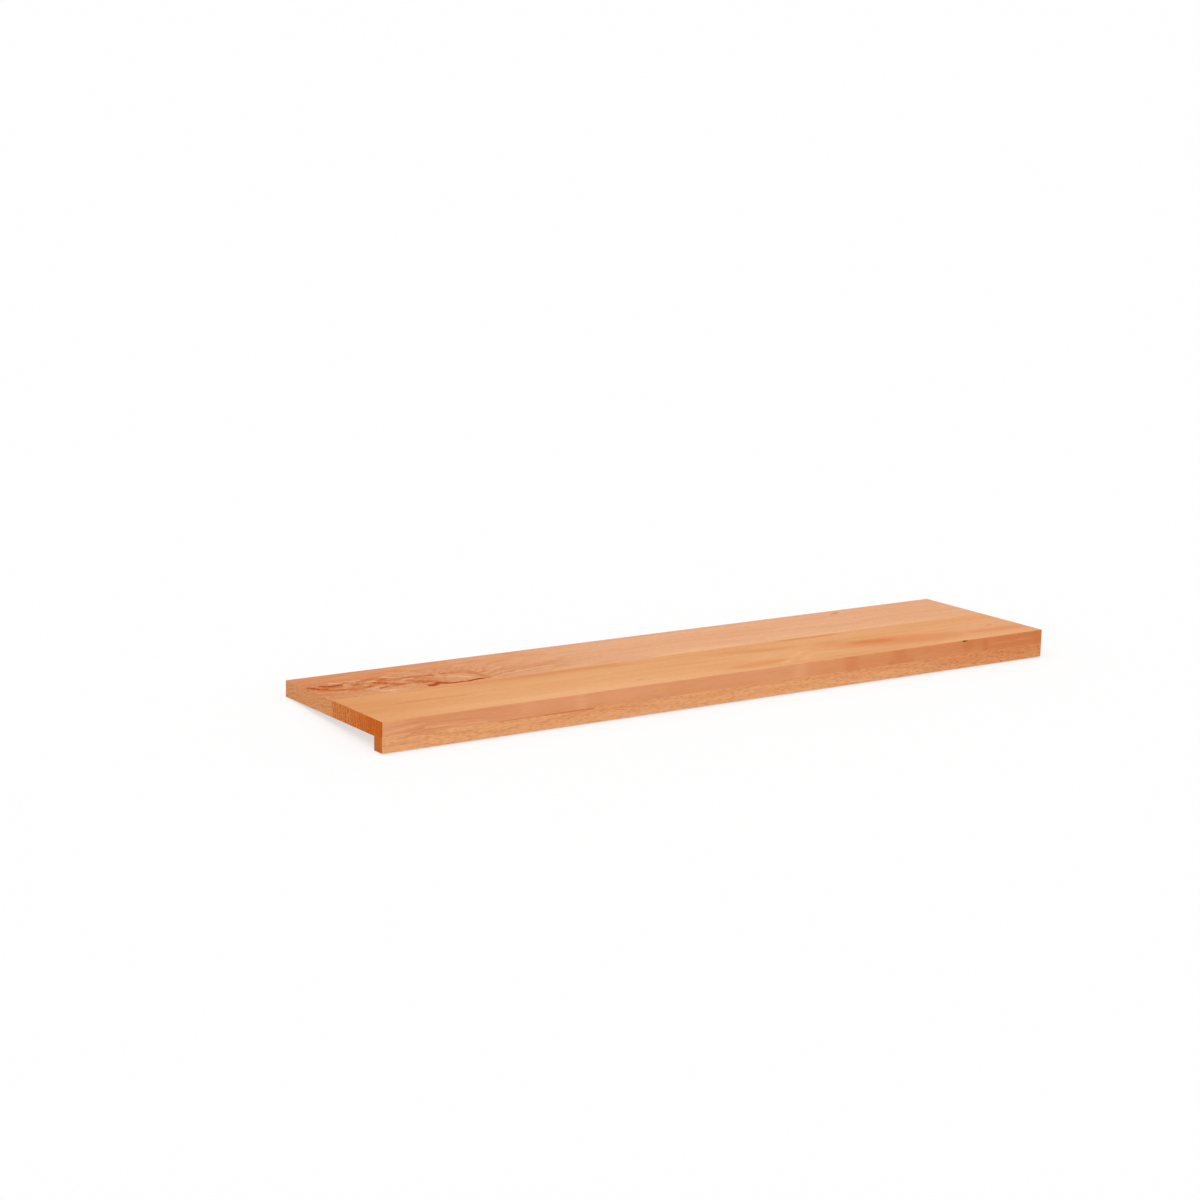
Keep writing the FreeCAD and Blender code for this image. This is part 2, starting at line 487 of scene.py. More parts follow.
def groundColour(tree, point, faces, wood):
    drift = ease(tree, noise(tree, point, wood["driftSize"]), *softness["drift"])
    colour = zoned(tree, blend(tree, drift, wood["tone"], wood["driftTone"]), point, wood["zones"])
    if "front" in wood:
        front = wood["front"]
        ahead = zoned(tree, blend(tree, drift, front["tone"], front["driftTone"]), point, front["zones"])
        colour = blend(tree, faces["Front"], colour, ahead)
    if "mottle" in wood:
        mottle = wood["mottle"]
        spots = noise(tree, point, mottle["size"])
        there = ease(tree, split(tree, point)[0], *mottle["fades"], mottle["share"], 0.0)
        colour = tint(tree, colour, ease(tree, spots, *softness["mottleDark"]), there, mottle["tone"])
        colour = tint(tree, colour, ease(tree, spots, *softness["mottlePale"]), there, mottle["paleTone"])
    return colour


def wildColour(tree, colour, grain, wildness, curls, wild):
    # curled lines in patches, and dark and pale blotches at the core
    spread = noise(tree, grain, wild["patchSize"], detail=softness["patchDetail"])
    patch = ease(tree, spread, *softness["patch"])
    for level, share, shade in (
        (curls["Year"], wild["paleShare"], wild["paleTone"]),
        (curls["Late"], wild["curlShare"], wild["curlTone"]),
    ):
        mask = calc(tree, "MULTIPLY", calc(tree, "MULTIPLY", level, wildness), patch)
        colour = tint(tree, colour, mask, share, shade)
    core = useGroup(tree, softZone, Point=grain, **wild["core"])["Inside"]
    blotch = noise(tree, grain, wild["blotchSize"], detail=softness["blotchDetail"])
    blotches = ((softness["blotchDark"], wild["blotchTone"]), (softness["blotchPale"], wild["paleTone"]))
    for edge, shade in blotches:
        mask = calc(tree, "MULTIPLY", ease(tree, blotch, *edge), core)
        colour = tint(tree, colour, mask, wild["blotchShare"], shade)
    return colour


def markedColour(tree, colour, point, faces, fine, curlLines, wood):
    # marks, with edges that fray along the fibres, and a mask of what lies open
    ragged = tossed(tree, point, wood["ragged"])
    fray = calc(tree, "SUBTRACT", fine["Fray"], 0.5)
    hollow = 0.0
    for mark in wood["marks"]:
        place = point if mark.get("steady") else ragged
        soft = markMask(tree, place, mark["rows"], stretch=mark.get("stretch", 1.0))
        frayed = calc(tree, "MULTIPLY_ADD", fray, mark["fray"], soft)
        if "curl" in mark:
            frayed = calc(tree, "MULTIPLY_ADD", curlLines, mark["curl"], frayed)
        inside = ease(tree, soft, 0.0, mark.get("melt", softness["markMelt"]))
        low, high = mark["edge"]
        mask = calc(tree, "MULTIPLY", ease(tree, frayed, low, high), inside)
        if mark.get("front"):
            mask = calc(tree, "MULTIPLY", mask, faces["Front"])
        colour = tint(tree, colour, mask, mark["share"], mark["tone"])
        if "coreTone" in mark:
            core = ease(tree, frayed, high, high + softness["markCore"])
            colour = tint(tree, colour, core, mark["share"], mark["coreTone"])
        if mark.get("open"):
            hollow = calc(tree, "MAXIMUM", hollow, mask)
    if "crack" in wood:
        crack = wood["crack"]
        gash = crackMask(tree, point, crack)
        colour = tint(tree, colour, gash, crack["share"], crack["tone"])
        hollow = calc(tree, "MAXIMUM", hollow, gash)
    return colour, hollow


def beech(name, wood):
    material = bpy.data.materials.new(name)
    material.use_nodes = True
    tree = material.node_tree
    surface = tree.nodes["Principled BSDF"]
    point = useGroup(tree, treadPoint)["Point"]
    faces = useGroup(tree, sawnFaces)
    wildness, grain, swell = wildGrain(tree, point, wood) if "wild" in wood else (0.0, point, 0.0)
    log = useGroup(tree, logSpace, Point=grain, Swell=swell, **wood["log"])["Log"]
    rings = useGroup(tree, growthRings, Log=log, Width=wood["ringWidth"])
    rays = useGroup(tree, rayFlecks, Log=log, **wood["rays"])
    fine = useGroup(tree, fibres, Log=log)

    colour = groundColour(tree, point, faces, wood)
    colour = tint(tree, colour, rings["Late"], wood["lateShare"], wood["lateTone"])
    curlLines = 0.0
    if "wild" in wood:
        curls = useGroup(tree, growthRings, Log=log, Width=wood["wild"]["curlWidth"])
        curlLines = curls["Late"]
        colour = wildColour(tree, colour, grain, wildness, curls, wood["wild"])
    flecks = wood["flecks"]
    colour = useGroup(
        tree, longGrain, Colour=colour, Year=rings["Year"], Streak=fine["Streak"], Hair=fine["Hair"],
        Brindle=fine["Brindle"], Fleck=rays["Fleck"], Pore=fine["Pore"], RayTone=flecks["tone"],
        RayShare=ease(tree, split(tree, point)[0], *flecks["rises"], *flecks["strength"]), **wood["grain"],
    )["Colour"]
    colour, hollow = markedColour(tree, colour, point, faces, fine, curlLines, wood)
    cut = useGroup(
        tree, sawnEnd, Point=point, Late=rings["Late"], Year=rings["Year"], Streak=fine["Streak"],
        Fray=fine["Fray"], Fleck=rays["Fleck"], Pore=fine["Pore"], RayTone=wood["tone"],
        PoreTone=wood["grain"]["PoreTone"], **wood["end"],
    )["Colour"]
    wire(tree, surface.inputs["Base Color"], blend(tree, faces["End"], colour, cut))

    satin = useGroup(tree, satinFinish, Point=point, Streak=fine["Streak"], End=faces["End"], Open=hollow)
    wire(tree, surface.inputs["Roughness"], satin["Roughness"])
    surface.inputs["Specular IOR Level"].default_value = finish["gloss"]
    bump = put(tree, "ShaderNodeBump")
    bump.inputs["Strength"].default_value = finish["reliefStrength"]
    bump.inputs["Distance"].default_value = finish["reliefHeight"]
    wire(tree, bump.inputs["Height"], satin["Height"])
    wire(tree, surface.inputs["Normal"], bump.outputs["Normal"])
    print("material", name, "made")
    return material


# the pieces as milled: a section with eased arrises run along the tread, and eased ends

milling = {
    "arris": 0.8 * mm, "nose": 1.5 * mm, "endEase": 0.7 * mm, "arcSteps": 5, "endSteps": 4,
    "flat": 0.99999,  # a face squarer than this to an axis is shaded flat
}


def corner(y, z, radius=0.0, pull=(0.0, 0.0), cuts=()):
    # a corner of a section. pull is the way a sharp corner goes in at the eased ends,
    # and cuts are the places, from 0 to 1, that divide the straight run to the next corner.
    return {"at": np.array((y, z)), "radius": radius, "pull": pull, "cuts": cuts}


def sectionLoop(corners):
    # rows of y, z and the inward way at each point, anticlockwise with y to the right and z up
    rows = []
    for index, here in enumerate(corners):
        before = corners[index - 1]
        after = corners[(index + 1) % len(corners)]
        wayIn = (here["at"] - before["at"]) / np.linalg.norm(here["at"] - before["at"])
        wayOut = (after["at"] - here["at"]) / np.linalg.norm(after["at"] - here["at"])
        if here["radius"]:
            middle = here["at"] + (wayOut - wayIn) * here["radius"]
            for step in range(milling["arcSteps"] + 1):
                turn = math.pi / 2 * step / milling["arcSteps"]
                outward = wayIn * math.sin(turn) - wayOut * math.cos(turn)
                rows.append((*(middle + outward * here["radius"]), *(-outward)))
        else:
            rows.append((*here["at"], *here["pull"]))
        start = here["at"] + wayOut * here["radius"]
        stop = after["at"] - wayOut * after["radius"]
        inward = (-wayOut[1], wayOut[0])
        for cut in here["cuts"]:
            rows.append((*(start + (stop - start) * cut), *inward))
    return np.array(rows)


def spaced(runs):
    # places along the tread between its eased ends, from runs of stop and step in millimetres
    start = milling["endEase"] / mm
    places = []
    for stop, step in runs:
        places.append(np.arange(start, stop, step))
        start = stop
    places.append([treadLength - milling["endEase"] / mm])
    return leftX + np.concatenate(places) * mm


def shares(places, start, stop):
    return [(place - start) / (stop - start) for place in places]


def smoothStep(value, start, stop):
    part = np.clip((value - start) / (stop - start), 0.0, 1.0)
    return part * part * (3.0 - 2.0 * part)


def crackDepth(place, crack):
    # how deep the crack goes at points given as millimetres along, back and down
    along, back, down = np.moveaxis(place, -1, 0)
    way = crack["first"]
    for start, stop, shift in crack["shifts"]:
        way = way + shift * smoothStep(along, start, stop)
    for height, pace, lead in crack["waves"]:
        way = way + height * np.sin(along * pace + lead)
    start, stop = crack["span"]
    opened = smoothStep(along, start, start + crack["opens"])
    opened = opened * smoothStep(-along, -stop, crack["closes"] - stop)
    inside = np.clip(1.0 - np.abs(back - way) / np.maximum(crack["half"] * opened, 1e-6), 0.0, 1.0)
    return crack["depth"] * inside * opened * (down < crack["down"])


def knotDepth(place, mark):
    # how deep an open knot goes at such points
    deepest = np.zeros(place.shape[:-1])
    for start, stop, half, strength in mark["rows"]:
        start, span = np.array(start), np.array(stop) - np.array(start)
        along = np.clip(((place - start) @ span) / (span @ span), 0, 1)
        gap = np.linalg.norm(place - start - along[..., None] * span, axis=-1)
        deepest = np.maximum(deepest, np.clip(1 - gap / half, 0, 1) * mark["open"] * strength)
    return deepest


def openDepth(place, wood):
    depth = np.zeros(place.shape[:-1])
    for mark in wood["marks"]:
        if "open" in mark:
            depth = np.maximum(depth, knotDepth(place, mark))
    if "crack" in wood:
        depth = np.maximum(depth, crackDepth(place, wood["crack"]))
    return depth


def millPiece(name, node, corners, wood, material):
    loop = sectionLoop(corners)
    stations = spaced(wood["stations"])
    turns = np.linspace(0, math.pi / 2, milling["endSteps"], endpoint=False)
    easeIn = milling["endEase"] * (1 - np.cos(turns))
    easePull = milling["endEase"] * (1 - np.sin(turns))
    ringX = np.concatenate([leftX + easeIn, stations, (rightX - easeIn)[::-1]])
    ringPull = np.concatenate([easePull, np.zeros(len(stations)), easePull[::-1]])
    points = np.empty((len(ringX), len(loop), 3))
    points[:, :, 0] = ringX[:, None]
    points[:, :, 1:] = loop[None, :, :2] + ringPull[:, None, None] * loop[None, :, 2:]
    place = (points - np.array((leftX, rearY, topZ))) / mm * np.array((1, -1, -1))
    points[:, :, 1:] += openDepth(place, wood)[..., None] * mm * loop[None, :, 2:]
    rings, around = points.shape[:2]
    faces = []
    for ring in range(rings - 1):
        for spot in range(around):
            ahead = (spot + 1) % around
            low, high = ring * around, (ring + 1) * around
            faces.append((low + spot, low + ahead, high + ahead, high + spot))
    faces.append(tuple(range(around))[::-1])
    faces.append(tuple(range((rings - 1) * around, rings * around)))
    mesh = bpy.data.meshes.new(name)
    mesh.from_pydata(points.reshape(-1, 3).tolist(), [], faces)
    mesh.validate()
    mesh.update()
    for face in mesh.polygons:
        face.use_smooth = max(abs(part) for part in face.normal) < milling["flat"]
    piece = bpy.data.objects.new(name, mesh)
    bpy.context.scene.collection.objects.link(piece)
    mesh.materials.append(material)
    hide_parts(node)
    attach(piece, bodyName)
    print("piece", name, "made with", len(mesh.polygons), "faces")


arris, nose = milling["arris"], milling["nose"]

# rear board: pinkish, flat sawn, with a wild knotty stretch and a crack at its left end
rearBoard = {
    "stations": [(160, 10), (252, 0.7), (1095, 12)],  # close together along the crack
    "topCuts": [(8, 100, 10), (100, 121, 0.6)],
    "log": {"PithBack": 112.0, "PithDown": 190.0, "Reach": 200.0, "Lean": 0.006, "Waver": 5.0},
    "ringWidth": 4.4, "lateTone": tone(208, 134, 82), "lateShare": 0.17,
    "tone": tone(236, 177, 135), "driftTone": tone(232, 171, 127), "driftSize": (300, 34, 30),
    "mottle": {
        "size": (64, 15, 14), "fades": (240, 520), "share": 0.5,
        "tone": tone(204, 122, 66), "paleTone": tone(228, 162, 120),
    },
    "grain": {
        "YearShare": 0.02, "StreakShare": 0.06, "HairShare": 0.04, "BrindleShare": 0.03,
        "PoreTone": tone(160, 88, 44), "PoreShare": 0.25,
    },
    "rays": {"Tall": 4.0, "Deep": 9.0, "Thick": 0.7, "Share": 0.6},
    "flecks": {"tone": tone(192, 116, 66), "rises": (0.0, 1100.0), "strength": (0.4, 0.4)},
    "end": {
        "NearTone": tone(216, 149, 97), "FarTone": tone(219, 151, 96), "ShiftFrom": 20.0, "ShiftTo": 120.0,
        "LateTone": tone(176, 100, 52), "LateShare": 0.7, "YearShare": 0.05, "StreakShare": 0.08,
        "RayShare": 0.25, "PoreShare": 0.45,
    },
    "wild": {
        "zone": {"Centre": (110, 78, 0), "Reach": (250, 78, 70), "Full": 0.3},
        "tosses": [
            ((52, 30, 26), (30, 26, 16)),
            ((17, 10, 10), (10, 8, 8)),
            ((6, 4, 5), (3, 2.4, 2.4)),
        ],
        "swells": [
            ((140, 84, 0), (330, 90, 80), 26),
            ((36, 62, 0), (80, 44, 50), 12),
        ],
        "curlWidth": 2.3, "patchSize": (40, 22, 20), "curlTone": tone(184, 92, 34), "curlShare": 0.7,
        "paleTone": tone(240, 188, 144), "paleShare": 0.5,
        "core": {"Centre": (88, 74, 0), "Reach": (125, 44, 40), "Full": 0.4},
        "blotchSize": (30, 12, 12), "blotchTone": tone(192, 98, 36), "blotchShare": 0.55,
    },
    "ragged": [((26, 14, 12), (9, 6, 3)), ((7, 4.5, 4), (6, 5, 2))],
    "zones": [
        ((20, 60, 0), (510, 200, 80), 1.0, tone(212, 135, 84)),
        ((60, 124, 0), (190, 30, 30), 0.8, tone(224, 159, 106)),
        ((760, 124, 0), (640, 38, 30), 0.95, tone(240, 186, 140)),
    ],
    "crack": {
        "tone": tone(116, 40, 6), "share": 0.95, "soft": 0.8,
        "span": (166.0, 243.0), "opens": 12.0, "closes": 24.0, "half": 1.7, "depth": 0.9, "down": 3.0,
        "first": 107.0,
        "shifts": [(166, 178, 11.0), (180, 188, -1.2), (189, 197, 1.2), (204, 216, -3.0), (216, 240, -1.0)],
        "waves": [(0.6, 0.31, 0.0), (0.35, 0.83, 1.0)],
    },
    "marks": [
        # smoulder: soft reddish stains
        {
            "tone": tone(202, 106, 40), "share": 0.6, "fray": 1.3, "curl": 0.4, "edge": (0.35, 1.0),
            "rows": topMarks([
                (10, 62, 40, 68, 18, 1.0), (15, 74, 55, 86, 15, 1.0), (94, 68, 110, 60, 14, 0.85),
                (94, 72, 122, 88, 14, 1.0), (136, 80, 164, 97, 14, 1.0), (150, 113, 170, 108, 12, 1.1),
            ]),
        },
        {
            "tone": tone(196, 116, 52), "share": 0.65, "fray": 1.5, "curl": 0.4, "edge": (0.35, 1.05),
            "steady": True,
            "rows": topMarks([(233, 75, 235, 87, 12, 1.2), (235, 87, 238, 105, 11, 1.1)]),
        },
        # char: dark lines and hooks inside them
        {
            "tone": tone(188, 92, 20), "coreTone": tone(158, 54, 4), "share": 0.85, "fray": 1.2, "curl": 0.5,
            "edge": (0.45, 0.95), "swell": 9.0,
            "rows": topMarks([
                (22, 52, 33, 60, 7.5, 1.35), (33, 60, 50, 58, 7, 1.3), (50, 58, 60, 52, 5, 0.6),
                (6, 53, 12, 66, 8, 1.35), (11, 66, 21, 70, 7, 1.0), (24, 78, 52, 86, 6, 0.8),
                (63, 69, 74, 66, 6, 0.95), (71, 84, 79, 82, 6.5, 1.05), (102, 62, 114, 53, 7, 0.65),
                (93, 71, 107, 75, 8, 0.9), (86, 96, 95, 95, 6, 1.1), (107, 78, 113, 88, 7, 0.75),
                (111, 92, 120, 91, 6, 0.85), (137, 80, 144, 90, 7, 0.8), (143, 91, 160, 96, 7, 0.85),
                (149, 115, 158, 114, 8, 1.45), (158, 113, 166, 105, 8, 1.5), (165, 107, 173, 113, 7.5, 1.45),
                (172, 114, 187, 117.5, 5.5, 1.25), (187, 117, 208, 117, 5, 1.1), (208, 117, 226, 115, 5, 1.2),
                (225, 115, 238, 114, 3.5, 0.95),
            ]),
        },
        # arch over the belt of stains
        {
            "tone": tone(176, 90, 34), "share": 0.8, "fray": 1.3, "curl": 0.5, "edge": (0.45, 1.0),
            "rows": topMarks([
                (114, 54, 126, 62, 5, 0.9), (126, 62, 143, 61, 5.5, 0.95), (143, 61, 166, 64, 5.5, 0.95),
                (166, 64, 184, 67, 5, 0.9), (184, 67, 222, 71, 4, 0.6),
            ]),
        },
        # pale flames between them
        {
            "tone": tone(240, 188, 144), "share": 0.6, "fray": 1.5, "edge": (0.3, 1.05),
            "rows": topMarks([
                (42, 45, 53, 48, 7, 1.0), (62, 46, 69, 52, 7, 0.9), (76, 73, 75, 80, 6, 1.0),
                (90, 58, 99, 60, 7, 0.95), (116, 48, 130, 53, 7, 0.9), (134, 71, 149, 70, 7, 1.05),
                (82, 90, 91, 88, 6, 0.95), (80, 111, 95, 113, 7, 1.2), (88, 116, 106, 117, 6, 1.1),
                (206, 90, 216, 101, 8, 1.1), (200, 84, 215, 97, 12, 0.85),
            ]),
        },
        # fan of lines to the right of them
        {
            "tone": tone(242, 194, 152), "share": 0.34, "fray": 1.2, "edge": (0.3, 1.0),
            "rows": topMarks([
                (243, 80, 276, 60, 4.5, 0.9), (249, 88, 284, 68, 4.5, 0.9), (243, 117, 282, 106, 5, 0.9),
                (276, 107, 345, 94, 5, 0.85), (252, 104, 304, 82, 4, 0.8),
            ]),
        },
        {
            "tone": tone(196, 118, 66), "share": 0.6, "fray": 1.0, "edge": (0.3, 0.9),
            "rows": topMarks([
                (240, 110, 276, 97, 4.5, 0.95), (274, 98, 316, 90, 4.5, 0.9), (314, 90, 380, 88, 4.5, 0.7),
                (246, 99, 284, 76, 4.5, 0.8), (246, 84, 270, 66, 4.5, 0.75), (262, 112, 330, 101, 4, 0.7),
            ]),
        },
        # small brown fleck near the rear edge
        {
            "tone": tone(188, 106, 56), "share": 0.65, "fray": 1.1, "edge": (0.2, 0.95),
            "rows": topMarks([(892, 22, 906, 16, 5, 0.8), (904, 16, 911, 13, 5.5, 1.15)]),
        },
    ],
}

# the joint side stays sharp, and the top is divided finely where the crack opens
rearTopCuts = np.concatenate([np.arange(*run) for run in rearBoard["topCuts"]])
rearCorners = [
    corner(rearLow[1], rearLow[2], pull=(0, 1)),
    corner(rearHigh[1], rearLow[2], radius=arris),
    corner(rearHigh[1], rearHigh[2], radius=arris, cuts=shares(rearTopCuts, arris / mm, jointBack)),
    corner(rearLow[1], rearHigh[2], pull=(0, -1)),
]
millPiece(
    "rearBoardPiece", "rear_board", rearCorners, rearBoard,
    beech("rearBoardBeech", rearBoard),
)

# front board: yellower, quarter sawn, with a smooth pinker front edge
frontBoard = {
    "stations": [(940, 20), (960, 0.6), (1095, 15)],  # close together at the open pin knot
    "topCuts": [200, 240, 244, 246, 247, 248],
    "frontCuts": [2, 3, 4, 5, 8],
    "log": {"PithBack": 485.0, "PithDown": 12.0, "Reach": 300.0, "Lean": 0.004, "Waver": 4.0},
    "ringWidth": 5.2, "lateTone": tone(206, 132, 74), "lateShare": 0.22,
    "tone": tone(232, 169, 114), "driftTone": tone(229, 162, 106), "driftSize": (260, 26, 24),
    "grain": {
        "YearShare": 0.02, "StreakShare": 0.08, "HairShare": 0.04, "BrindleShare": 0.03,
        "PoreTone": tone(156, 86, 40), "PoreShare": 0.22,
    },
    "rays": {"Tall": 3.4, "Deep": 4.5, "Thick": 0.5, "Share": 0.4},
    "flecks": {"tone": tone(196, 118, 66), "rises": (0.0, 1100.0), "strength": (0.1, 0.1)},
    "end": {
        "NearTone": tone(214, 131, 68), "FarTone": tone(205, 98, 10), "ShiftFrom": 125.0, "ShiftTo": 246.0,
        "LateTone": tone(164, 64, 10), "LateShare": 0.95, "YearShare": 0.07, "StreakShare": 0.2,
        "RayShare": 0.25, "PoreShare": 0.45,
    },
    "ragged": [((60, 22, 12), (26, 12, 4)), ((9, 5, 4), (7, 5, 1.5))],
    "zones": [
        ((0, 170, 0), (150, 110, 20), 0.75, tone(220, 148, 90)),
        # these two pale bands just behind the front edge are a painted highlight along the nosing
        ((330, 240, 0), (430, 46, 20), 0.9, tone(240, 181, 129)),
        ((1000, 246, 0), (260, 16, 20), 0.7, tone(240, 178, 130)),
        ((1040, 195, 0), (140, 80, 20), 0.9, tone(232, 169, 122)),
        ((650, 184, 0), (140, 46, 20), 0.7, tone(236, 174, 122)),
    ],
    "front": {
        "tone": tone(225, 155, 109), "driftTone": tone(218, 146, 98),
        "zones": [
            # this first zone darkens the front face towards the right end: painted shade of light falling off
            # from the left
            ((1080, 250, 8), (360, 20, 40), 1.0, tone(209, 124, 72)),
            ((830, 250, 12), (240, 20, 30), 0.6, tone(219, 140, 90)),
            ((960, 250, 22), (120, 20, 12), 0.4, tone(220, 146, 96)),
        ],
    },
    "marks": [
        # reddish bands and patches on the top
        {
            "tone": tone(221, 133, 80), "share": 0.66, "fray": 0.9, "edge": (0.05, 1.1),
            "stretch": 4.0, "melt": 0.7,
            "rows": topMarks([
                (770, 172, 800, 182, 22, 0.7), (830, 193, 870, 205, 42, 1.0), (870, 207, 908, 211, 40, 1.0),
                (582, 229, 622, 224, 20, 0.85), (1016, 213, 1068, 215, 24, 0.85),
            ]),
        },
        {
            "tone": tone(212, 120, 54), "share": 0.8, "fray": 0.9, "edge": (0.1, 1.4),
            "stretch": 3.0, "melt": 0.9,
            "rows": topMarks([(818, 189, 842, 193, 21, 1.1)]),
        },
        {
            "tone": tone(212, 132, 74), "share": 0.75, "fray": 0.9, "edge": (0.1, 1.5),
            "stretch": 5.0, "melt": 0.9,
            "rows": topMarks([
                (120, 129, 210, 130, 14, 0.9), (210, 131, 300, 132, 21, 1.0), (300, 132, 400, 134, 25, 1.05),
                (610, 150, 670, 166, 20, 0.85), (730, 125, 790, 125, 13, 1.2), (80, 179, 150, 181, 12, 0.9),
            ]),
        },
        # pale curls beside them
        {
            "tone": tone(242, 188, 136), "share": 0.4, "fray": 1.2, "edge": (0.15, 1.05),
            "stretch": 3.0, "melt": 0.7,
            "rows": topMarks([
                (634, 238, 656, 224, 7, 0.9), (664, 216, 698, 194, 7, 0.8), (674, 236, 698, 218, 6, 0.8),
                (605, 203, 640, 199, 9, 0.75), (715, 209, 750, 218, 10, 0.65),
            ]),
        },
        # soft upright bands on the front face, darker and paler
        {
            "tone": tone(204, 114, 64), "share": 0.5, "fray": 0.5, "edge": (0.05, 0.95),
            "steady": True, "front": True,
            "rows": frontMarks([
                (742, -4, 742, 22, 30, 0.7), (785, -4, 785, 22, 80, 0.35), (828, -4, 828, 22, 30, 0.7),
                (957, -4, 957, 6, 18, 1.1), (812, 18, 850, 19, 13, 0.8), (989, -4, 990, 22, 9, 1.2),
                (170, -4, 170, 22, 70, 0.35), (230, 12, 260, 20, 30, 0.3), (1092, 0, 1092, 22, 22, 0.9),
            ]),
        },
        {
            "tone": tone(236, 170, 126), "share": 0.5, "fray": 0.5, "edge": (0.05, 0.95),
            "steady": True, "front": True,
            "rows": frontMarks([
                (10, -4, 10, 22, 60, 0.7), (292, -4, 292, 22, 20, 0.5), (650, -4, 650, 22, 26, 0.6),
                (340, 16, 420, 18, 30, 0.4),
            ]),
        },
        # wisps at its left and right ends, darker and paler
        {
            "tone": tone(200, 118, 70), "share": 0.35, "fray": 1.5, "edge": (0.35, 1.05),
            "steady": True, "front": True,
            "rows": frontMarks([
                (6, 18, 60, 14, 3, 1.0), (40, 19, 120, 16, 3, 1.0), (2, 9, 50, 6, 3, 0.9),
                (60, 9, 150, 12, 3, 0.8), (990, 17, 1080, 14, 4, 1.1), (1010, 6, 1090, 4, 4, 1.0),
            ]),
        },
        {
            "tone": tone(244, 186, 144), "share": 0.3, "fray": 1.5, "edge": (0.35, 1.05),
            "steady": True, "front": True,
            "rows": frontMarks([
                (4, 14, 60, 9, 3, 1.0), (10, 19, 40, 19, 3, 1.0), (60, 14, 150, 18, 3, 0.9),
                (1000, 11, 1080, 9, 4, 0.6),
            ]),
        },
        # pin knots, the last one open, with its depth in millimetres
        {
            "tone": tone(182, 104, 54), "share": 0.4, "fray": 0.6, "edge": (0.15, 0.9),
            "rows": topMarks([(404, 221, 410, 220, 4, 0.9), (1047, 190, 1058, 187, 6, 0.6)]),
        },
        {
            "tone": tone(78, 30, 8), "share": 1.0, "fray": 0.4, "edge": (0.15, 0.6),
            "open": 1.0, "steady": True,
            "rows": frontMarks([(947.5, 0.9, 951, 1.1, 2.2, 1.0), (950, 1.2, 954, 1.0, 1.6, 0.9)]),
        },
    ],
}

# a rebate under the front takes the strip, and the nose is rounded
frontTopCuts = shares(frontBoard["topCuts"], jointBack, treadDepth - nose / mm)
frontFaceCuts = shares(frontBoard["frontCuts"], nose / mm, stripDown)
frontCorners = [
    corner(stripHigh[1], frontLow[2], pull=(0, 1)),
    corner(frontHigh[1], frontLow[2], pull=(0, 1)),
    corner(frontHigh[1], frontHigh[2], pull=(0, -1), cuts=frontTopCuts),
    corner(frontLow[1], frontHigh[2], radius=nose, cuts=frontFaceCuts),
    corner(frontLow[1], stripHigh[2], pull=(1, 0)),
    corner(stripHigh[1], stripHigh[2]),
]
millPiece(
    "frontBoardPiece", "front_board", frontCorners, frontBoard,
    beech("frontBoardBeech", frontBoard),
)

# nosing strip: flecked, flat sawn
nosingStrip = {
    "stations": [(1095, 20)],
    "log": {"PithBack": 118.0, "PithDown": 66.0, "Reach": 130.0, "Lean": 0.009, "Waver": 5.0},
    "ringWidth": 3.2, "lateTone": tone(206, 130, 74), "lateShare": 0.2,
    "tone": tone(230, 164, 112), "driftTone": tone(226, 157, 104), "driftSize": (120, 20, 8),
    "grain": {
        "YearShare": 0.02, "StreakShare": 0.06, "HairShare": 0.04, "BrindleShare": 0.05,
        "PoreTone": tone(156, 86, 40), "PoreShare": 0.25,
    },
    "rays": {"Tall": 10.0, "Deep": 9.0, "Thick": 0.85, "Share": 0.8},
    "flecks": {"tone": tone(162, 78, 32), "rises": (760.0, 1040.0), "strength": (0.35, 0.64)},
    "end": {
        "NearTone": tone(200, 110, 43), "FarTone": tone(198, 108, 42), "ShiftFrom": 230.0, "ShiftTo": 250.0,
        "LateTone": tone(160, 68, 16), "LateShare": 0.6, "YearShare": 0.05, "StreakShare": 0.1,
        "RayShare": 0.1, "PoreShare": 0.45,
    },
    "ragged": [((40, 8, 8), (20, 6, 6))],
    "zones": [
        # this first zone darkens the strip towards the right end: painted shade of light falling off from the
        # left
        ((1090, 250, 30), (340, 40, 40), 0.95, tone(216, 138, 83)),
        ((400, 250, 42), (1300, 60, 20), 0.65, tone(236, 178, 127)),
        ((60, 250, 20), (330, 40, 14), 0.7, tone(236, 176, 124)),
    ],
    "marks": [
        # glue line under the front board, where it shows
        {
            "tone": tone(196, 108, 62), "share": 0.8, "fray": 0.5, "edge": (0.1, 0.8), "steady": True,
            "rows": frontMarks([
                (168, 20.6, 240, 20.4, 1.8, 0.6), (238, 20.4, 312, 20.6, 2.4, 1.0),
                (20, 20.6, 90, 20.4, 1.4, 0.5),
            ]),
        },
        # wisps at its left end
        {
            "tone": tone(208, 130, 80), "share": 0.35, "fray": 1.4, "edge": (0.3, 1.0),
            "rows": frontMarks([
                (20, 24, 90, 22, 4, 0.9), (10, 31, 70, 28, 4, 0.9), (70, 28, 160, 25, 4, 0.8),
                (120, 33, 240, 29, 4, 0.7),
            ]),
        },
    ],
}

# its top lies in the rebate and stays sharp
stripCorners = [
    corner(stripLow[1], stripLow[2], radius=arris),
    corner(stripHigh[1], stripLow[2], radius=arris),
    corner(stripHigh[1], stripHigh[2], pull=(-1, 0)),
    corner(stripLow[1], stripHigh[2], pull=(1, 0)),
]
millPiece(
    "nosingStripPiece", "nosing_strip", stripCorners, nosingStrip,
    beech("nosingStripBeech", nosingStrip),
)


# pale floor: the tread lies on the strip's back edge and on its own rear edge

floorSetup = {"half": 40.0, "tone": tone(254, 254, 254), "lift": 0.62, "drop": 0.1 * mm}


